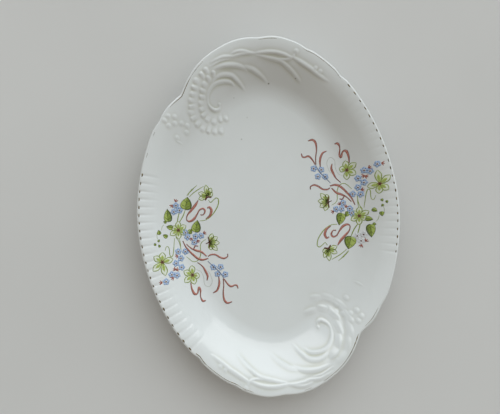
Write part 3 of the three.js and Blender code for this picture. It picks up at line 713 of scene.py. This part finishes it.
# A stem is its points and its width.
stems = (
    (((-12.5, -20), (-11.5, -16.5), (-9.5, -16.5), (-8.4, -20), (-8.0, -24), (-6.6, -26), (-4.8, -23),
      (-3.7, -8)), 0.8),
    (((27, -9), (23.5, -11.5), (21.7, -15), (22, -24), (19.5, -29.5), (14.5, -30.8), (8, -26)), 0.8),
    (((29.4, 30), (31.6, 27.5), (34, 29.6), (37, 32), (39.3, 30.4), (38.6, 24), (33.5, 15.5), (27, 10.3),
      (20.7, 9.2)), 1.0),
    (((8, 34), (12, 39), (18, 44.5)), 0.8), (((10.5, 33), (16, 38), (24.5, 43.5)), 0.9),
    (((9, 34), (13, 41)), 0.5), (((11, 37), (15.5, 42)), 0.5),
    (((7, 21), (4, 13), (-1, 5)), 1.0), (((1, 18), (-0.5, 12), (-1.5, 5)), 1.0),
    (((-2.5, -7), (1, -12), (3, -20)), 0.7), (((0.5, -7), (2.0, -13), (2.5, -20)), 0.6),
    (((-14, 5), (-15.5, 3), (-16.5, -1)), 0.4),
    (((-20.5, -3.5), (-20, -8), (-18.6, -10)), 0.35),
)
grey_loop = ((17.5, -38.5), (22, -40.5), (25, -46), (26, -53), (30.5, -55.5), (33.5, -50.5), (31.5, -43.5),
             (29, -40))
side_stamens = ((((29.2, -6.5), (30.4, -11), (30.6, -17.5)), 1.5),
                (((33.5, -7.5), (31, -11), (27.0, -13.5)), 1.0),
                (((26.3, 29.6), (28.4, 33.0), (32.4, 32.6)), 2.0))
green_inks = {
    "pale_green": enamel("pale_green", (0.67, 0.705, 0.56), (0.70, 0.72, 0.64)),
    "yellow_green": enamel("yellow_green", (0.36, 0.46, 0.08), (0.46, 0.54, 0.18)),
    "line_green": enamel("line_green", (0.20, 0.27, 0.035), (0.29, 0.355, 0.085)),
    "light_leaf": enamel("light_leaf", (0.30, 0.40, 0.05), (0.43, 0.50, 0.15)),
    "dark_green": enamel("dark_green", (0.045, 0.065, 0.008), (0.09, 0.12, 0.02)),
    "dark_red": enamel("dark_red", (0.075, 0.022, 0.008), (0.13, 0.045, 0.02)),
    "centre_red": enamel("centre_red", (0.17, 0.055, 0.03), (0.25, 0.10, 0.06)),
    "deep_leaf": enamel("deep_leaf", (0.15, 0.22, 0.018), (0.25, 0.32, 0.045)),
    "pencil_grey": enamel("pencil_grey", (0.42, 0.44, 0.38), (0.54, 0.55, 0.50)),
}
for side in sprays:
    marks = []
    for points, width in stems:
        marks.append(stroke(points, width, "line_green", stem_coat))
    marks.append(stroke(grey_loop, 0.5, "pencil_grey", stem_coat))
    for middle, petals, width in star_flowers:
        middle = np.array(middle)
        for heading, length in petals:
            way = unit(np.radians(heading))
            marks += star_petal(middle + 0.6 * way, middle + length * way, width)
        for heading in range(0, 360, 60):
            way = unit(np.radians(heading))
            ray = [middle, middle + 1.2 * way, middle + 2.4 * way]
            marks.append(stroke(ray, 0.8, "centre_red", ring_coat))
        marks.append(patch(ring_points(middle, 1.35), "dark_red", heart_coat))
    for base, tips, width in side_flowers:
        for tip in tips:
            marks += star_petal(base, tip, width)
    for points, width in side_stamens:
        marks.append(stroke(points, width, "dark_red", heart_coat))
    for middle, length, width, heading in leaves:
        marks += leaf(middle, length, width, heading)
    print_piece = lay_film(side + "_green_print", placed(side, marks), green_inks)
    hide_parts(side + "_spray_greenery")

# Blue print: the forget-me-nots of each spray, five round petals about a pale ring and a dark red eye,
# with small red buds beside them. Printed over the green in the same way.
blossoms = {
    "top": ((-2.5, 24), (-4.5, 17.8), (1, 19.5)),
    "middle": ((7, -2.5), (9, -6.8), (17, -6), (22.3, -5.5), (15.8, -12)),
    "chain": ((0, -21), (7, -21), (2.7, -27.5), (-2, -32.3), (3.4, -36.2), (-6, -43), (-1, -43.8),
              (-11.3, -49.5)),
    "end": ((34.5, -36.5), (41.7, -36.3), (38.8, -43), (46.2, -43.6)),
}
# A bud is its middle and its heading.
buds = {
    "top": (((-2.6, 29.0), 70), ((-6.8, 23.4), 230)),
    "middle": (((12.6, -8.9), 250), ((19.4, -11.0), 300), ((25.8, -2.6), 30)),
    "chain": (((-1.5, -25.5), 200), ((-0.7, -38.4), 20), ((-3.6, -38.0), 160), ((-5.4, -46.6), 220),
              ((-16.2, -50.3), 175)),
    "end": (),
}
navy_stalk = ((29, -30.5), (35, -36), (40.5, -41), (44.5, -47))
pupil_coat, stalk_coat = 0.15, 0.16
petal_step = 0.004
half_petal_turn = 0.63
blue_inks = {
    "forget_me_not": enamel("forget_me_not", (0.225, 0.35, 0.585), (0.32, 0.43, 0.63)),
    "line_blue": enamel("line_blue", (0.055, 0.10, 0.25), (0.115, 0.18, 0.35)),
    "pale_ring": enamel("pale_ring", (0.62, 0.62, 0.63), (0.70, 0.70, 0.70)),
    "dark_red": green_inks["dark_red"],
    "bud_red": enamel("bud_red", (0.29, 0.075, 0.05), (0.38, 0.13, 0.09)),
    "pale_petal": enamel("pale_petal", (0.35, 0.465, 0.65), (0.45, 0.535, 0.67)),
    "navy_stem": enamel("navy_stem", (0.085, 0.115, 0.20), (0.16, 0.20, 0.30)),
    "faded_petal": enamel("faded_petal", (0.56, 0.56, 0.57), (0.63, 0.64, 0.64)),
}


def forget_me_not(middle, lean, faded):
    """One blossom: five round petals with a line between them, a pale ring and a dark eye."""
    rim_ink, line_ink, petal_ink = "forget_me_not", "line_blue", "pale_petal"
    if faded:
        rim_ink, line_ink, petal_ink = "faded_petal", "faded_petal", "pale_ring"
    middle = np.array(middle, float)
    marks = []
    for petal in range(5):
        turn = np.radians(lean + 72 * petal)
        way, gap = unit(turn), unit(turn + half_petal_turn)
        marks.append(patch(ring_points(middle + 2.0 * way, 1.4), rim_ink, leaf_coat + petal_step * petal))
        marks.append(patch(ring_points(middle + 2.1 * way, 0.7), petal_ink, line_coat))
        marks.append(stroke([middle + reach * gap for reach in (1.0, 1.7, 2.5)], 0.5, line_ink, vein_coat))
    marks.append(patch(ring_points(middle, 1.3), "pale_ring", ring_coat))
    marks.append(patch(ring_points(middle, 0.75), "dark_red", pupil_coat))
    return marks


def bud(middle, heading):
    """A small bud: three short strokes that fan out from one root."""
    root = np.array(middle) - 1.5 * unit(np.radians(heading))
    marks = []
    for fan in (-38, 0, 38):
        way = unit(np.radians(heading + fan))
        marks.append(stroke([root, root + 1.6 * way, root + 3.1 * way], 1.0, "bud_red", vein_coat))
    return marks


for side in sprays:
    for cluster, middles in blossoms.items():
        marks = []
        if cluster == "end":
            marks.append(stroke(navy_stalk, 0.9, "navy_stem", stalk_coat))
        for number, middle in enumerate(middles):
            marks += forget_me_not(middle, 18 + 31 * number, side == "right" and cluster == "top")
        for middle, heading in buds[cluster]:
            marks += bud(middle, heading)
        print_piece = lay_film(side + "_blue_print_" + cluster, placed(side, marks), blue_inks)
        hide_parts(side + "_spray_blossoms_" + cluster)

# Red print: the loose ribbon of each spray, in red-brown with one dark edge, printed over the green in the
# same way. Each point has the ribbon's width there, broad where it lies flat and thin where it turns.
ribbons = {
    "curl": (((19.5, 29.5, 0.5), (16.5, 24.5, 2.4), (12.5, 19.5, 2.2), (8.8, 14.5, 0.9), (8.3, 10.2, 0.7),
              (11, 8.8, 1.8), (15, 11, 2.3), (18, 15.5, 1.2), (20.5, 20, 1.1), (24, 21.5, 1.6),
              (26.2, 19, 1.5), (24.5, 15.2, 0.8), (21.5, 15, 1.0)),),
    "hook": (((28, 22, 0.6), (30.5, 23, 1.8), (32.5, 19.5, 2.4), (31, 14.5, 2.0), (27, 11, 0.4)),),
    "bow": (((4.5, -10.5, 0.5), (8, -17, 1.2), (13, -22.5, 1.7), (19, -27.5, 2.0), (24, -29, 1.8),
             (29.5, -27.5, 0.7)),
            ((8, -13.5, 0.5), (13, -17.8, 1.0), (18, -20, 2.0), (23, -21.5, 1.8), (28, -25.5, 0.7)),
            ((14.5, -19, 0.5), (16.5, -15.5, 1.0), (19.5, -15.5, 0.6)),
            ((29, -25.8, 0.5), (32, -24, 1.3), (36.5, -24, 1.4), (41, -26.5, 1.5), (45, -27.6, 1.5),
             (48.3, -25.8, 0.8), (48.3, -23.2, 0.5))),
    "middle_tail": (((19, -31.5, 0.4), (24, -35.5, 0.9), (27, -40.5, 2.0), (29, -45, 1.8),
                     (28.5, -49.5, 0.5)),),
    "star_tail": (((12.5, -51, 0.5), (13.5, -57, 1.5), (16, -62, 2.3), (18.8, -61.5, 1.2),
                   (20.2, -56.2, 1.9), (22, -58.5, 1.5), (22.2, -65, 0.7), (24.2, -69, 2.0),
                   (27, -68.6, 0.6)),),
    "short_tail": (((40, -45.5, 0.5), (40.5, -52.5, 1.9), (38.5, -59, 1.7), (34.5, -61.8, 0.6)),),
    "long_tails": (((44.5, -47.5, 0.6), (45, -54.5, 0.7), (44.5, -62, 1.0), (45.5, -68.5, 1.9),
                    (48.5, -71.5, 1.9), (53, -70.2, 0.5)),
                   ((45, -47.5, 0.7), (48.5, -52.5, 1.2), (52, -55.3, 1.7), (55.5, -54, 1.2),
                    (58, -54.5, 1.3), (59.2, -57.5, 0.5))),
}
red_inks = {
    "ribbon_red": enamel("ribbon_red", (0.37, 0.115, 0.08), (0.48, 0.20, 0.155)),
    "ribbon_edge": enamel("ribbon_edge", (0.13, 0.055, 0.045), (0.22, 0.11, 0.09)),
}
for side in sprays:
    for ribbon, bands in ribbons.items():
        marks = []
        for points in bands:
            band = drawn_line(points, 0.5)
            line, breadth = band[:, :2], band[:, 2]
            ahead = np.gradient(line, axis=0)
            ahead /= np.linalg.norm(ahead, axis=1)[:, None]
            edge_line = line + np.stack([ahead[:, 1], -ahead[:, 0]], 1) * breadth[:, None] / 2
            edge_widths = np.clip(0.95 - 0.28 * breadth, 0.35, 0.8)
            marks.append((*film_strip(line, breadth), "ribbon_red", core_coat))
            marks.append((*film_strip(edge_line, edge_widths), "ribbon_edge", line_coat))
        print_piece = lay_film(side + "_red_print_" + ribbon, placed(side, marks), red_inks)
        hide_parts(side + "_spray_ribbon_" + ribbon)

# Floor: a plain pale painted surface, six metres square, under the platter. It is not part of the object
# and only catches its shadow.
floor_reach = 3000
floor_paint, tree, shader = new_finish("pale_floor", 0.7)
tree.links.new(mixed(tree, grain(tree, 3, 0, 1), (0.60, 0.59, 0.57), (0.64, 0.63, 0.61)),
               shader.inputs["Base Color"])
floor_corners = [(floor_reach * x, floor_reach * y, 0) for x, y in ((-1, -1), (1, -1), (1, 1), (-1, 1))]
floor = new_piece("floor", floor_corners, [[0, 1, 2, 3]], [floor_paint])

# Light: an open sky on one side of the room and a dim, warm ground on the other, as beside a large window,
# and a bright sheet beyond the far end that only the glaze mirrors, so its edge shows on the near bank.
light_bearing = np.radians(67)
dim_side = -0.62
dim_ground, open_sky, pale_backdrop = (0.12, 0.06, 0.0), (1.715, 1.868, 1.955), (0.48, 0.48, 0.47)
towards_light = (np.cos(light_bearing), np.sin(light_bearing), 0)
room = bpy.data.worlds.new("window_room")
room.use_nodes = True
tree = room.node_tree
way = tree.nodes.new("ShaderNodeTexCoord")
facing = add_node(tree, "ShaderNodeVectorMath", operation="DOT_PRODUCT")
facing.inputs[1].default_value = towards_light
tree.links.new(way.outputs["Generated"], facing.inputs[0])
brightness = add_node(tree, "ShaderNodeMapRange")
brightness.inputs["From Min"].default_value = dim_side
tree.links.new(facing.outputs["Value"], brightness.inputs["Value"])
sky = mixed(tree, brightness.outputs["Result"], dim_ground, open_sky)
seen = tree.nodes.new("ShaderNodeLightPath")
backdrop_share = seen.outputs["Is Camera Ray"]
for ray in ("Is Glossy Ray", "Is Transmission Ray"):
    either = add_node(tree, "ShaderNodeMath", operation="MAXIMUM")
    tree.links.new(backdrop_share, either.inputs[0])
    tree.links.new(seen.outputs[ray], either.inputs[1])
    backdrop_share = either.outputs["Value"]
tree.links.new(mixed(tree, backdrop_share, sky, pale_backdrop), tree.nodes["Background"].inputs["Color"])
bpy.context.scene.world = room
sheet = bpy.data.lights.new("window_sheet", "AREA")
sheet.shape = "RECTANGLE"
sheet.size, sheet.size_y = 4.4, 3.0
sheet.energy = 78
sheet_stand = bpy.data.objects.new("window_sheet", sheet)
sheet_stand.matrix_world = (Matrix.Translation((0.95, 2.0, 1.5)) @ Matrix.Rotation(np.radians(8), 4, "Y")
                            @ Matrix.Rotation(np.radians(-90), 4, "X"))
sheet_stand.visible_diffuse = False
sheet_stand.visible_camera = False
bpy.context.scene.collection.objects.link(sheet_stand)
bpy.context.scene.view_settings.view_transform = "Standard"

# Camera: above the platter and a little to its left, turned as in the photograph. Its place is in metres,
# and its axes were found from the outline's perspective.
lens = bpy.data.cameras.new("camera")
lens.lens = 50.53
lens.sensor_width = 36
camera = bpy.data.objects.new("camera", lens)
right, up, back = (0.99292, -0.06769, 0.09758), (0.06265, 0.99658, 0.05382), (-0.10089, -0.04733, 0.99377)
stand = (-0.087878, -0.023686, 0.702262)
camera.matrix_world = Matrix([*zip(right, up, back, stand), (0, 0, 0, 1)])
bpy.context.scene.collection.objects.link(camera)
bpy.context.scene.camera = camera
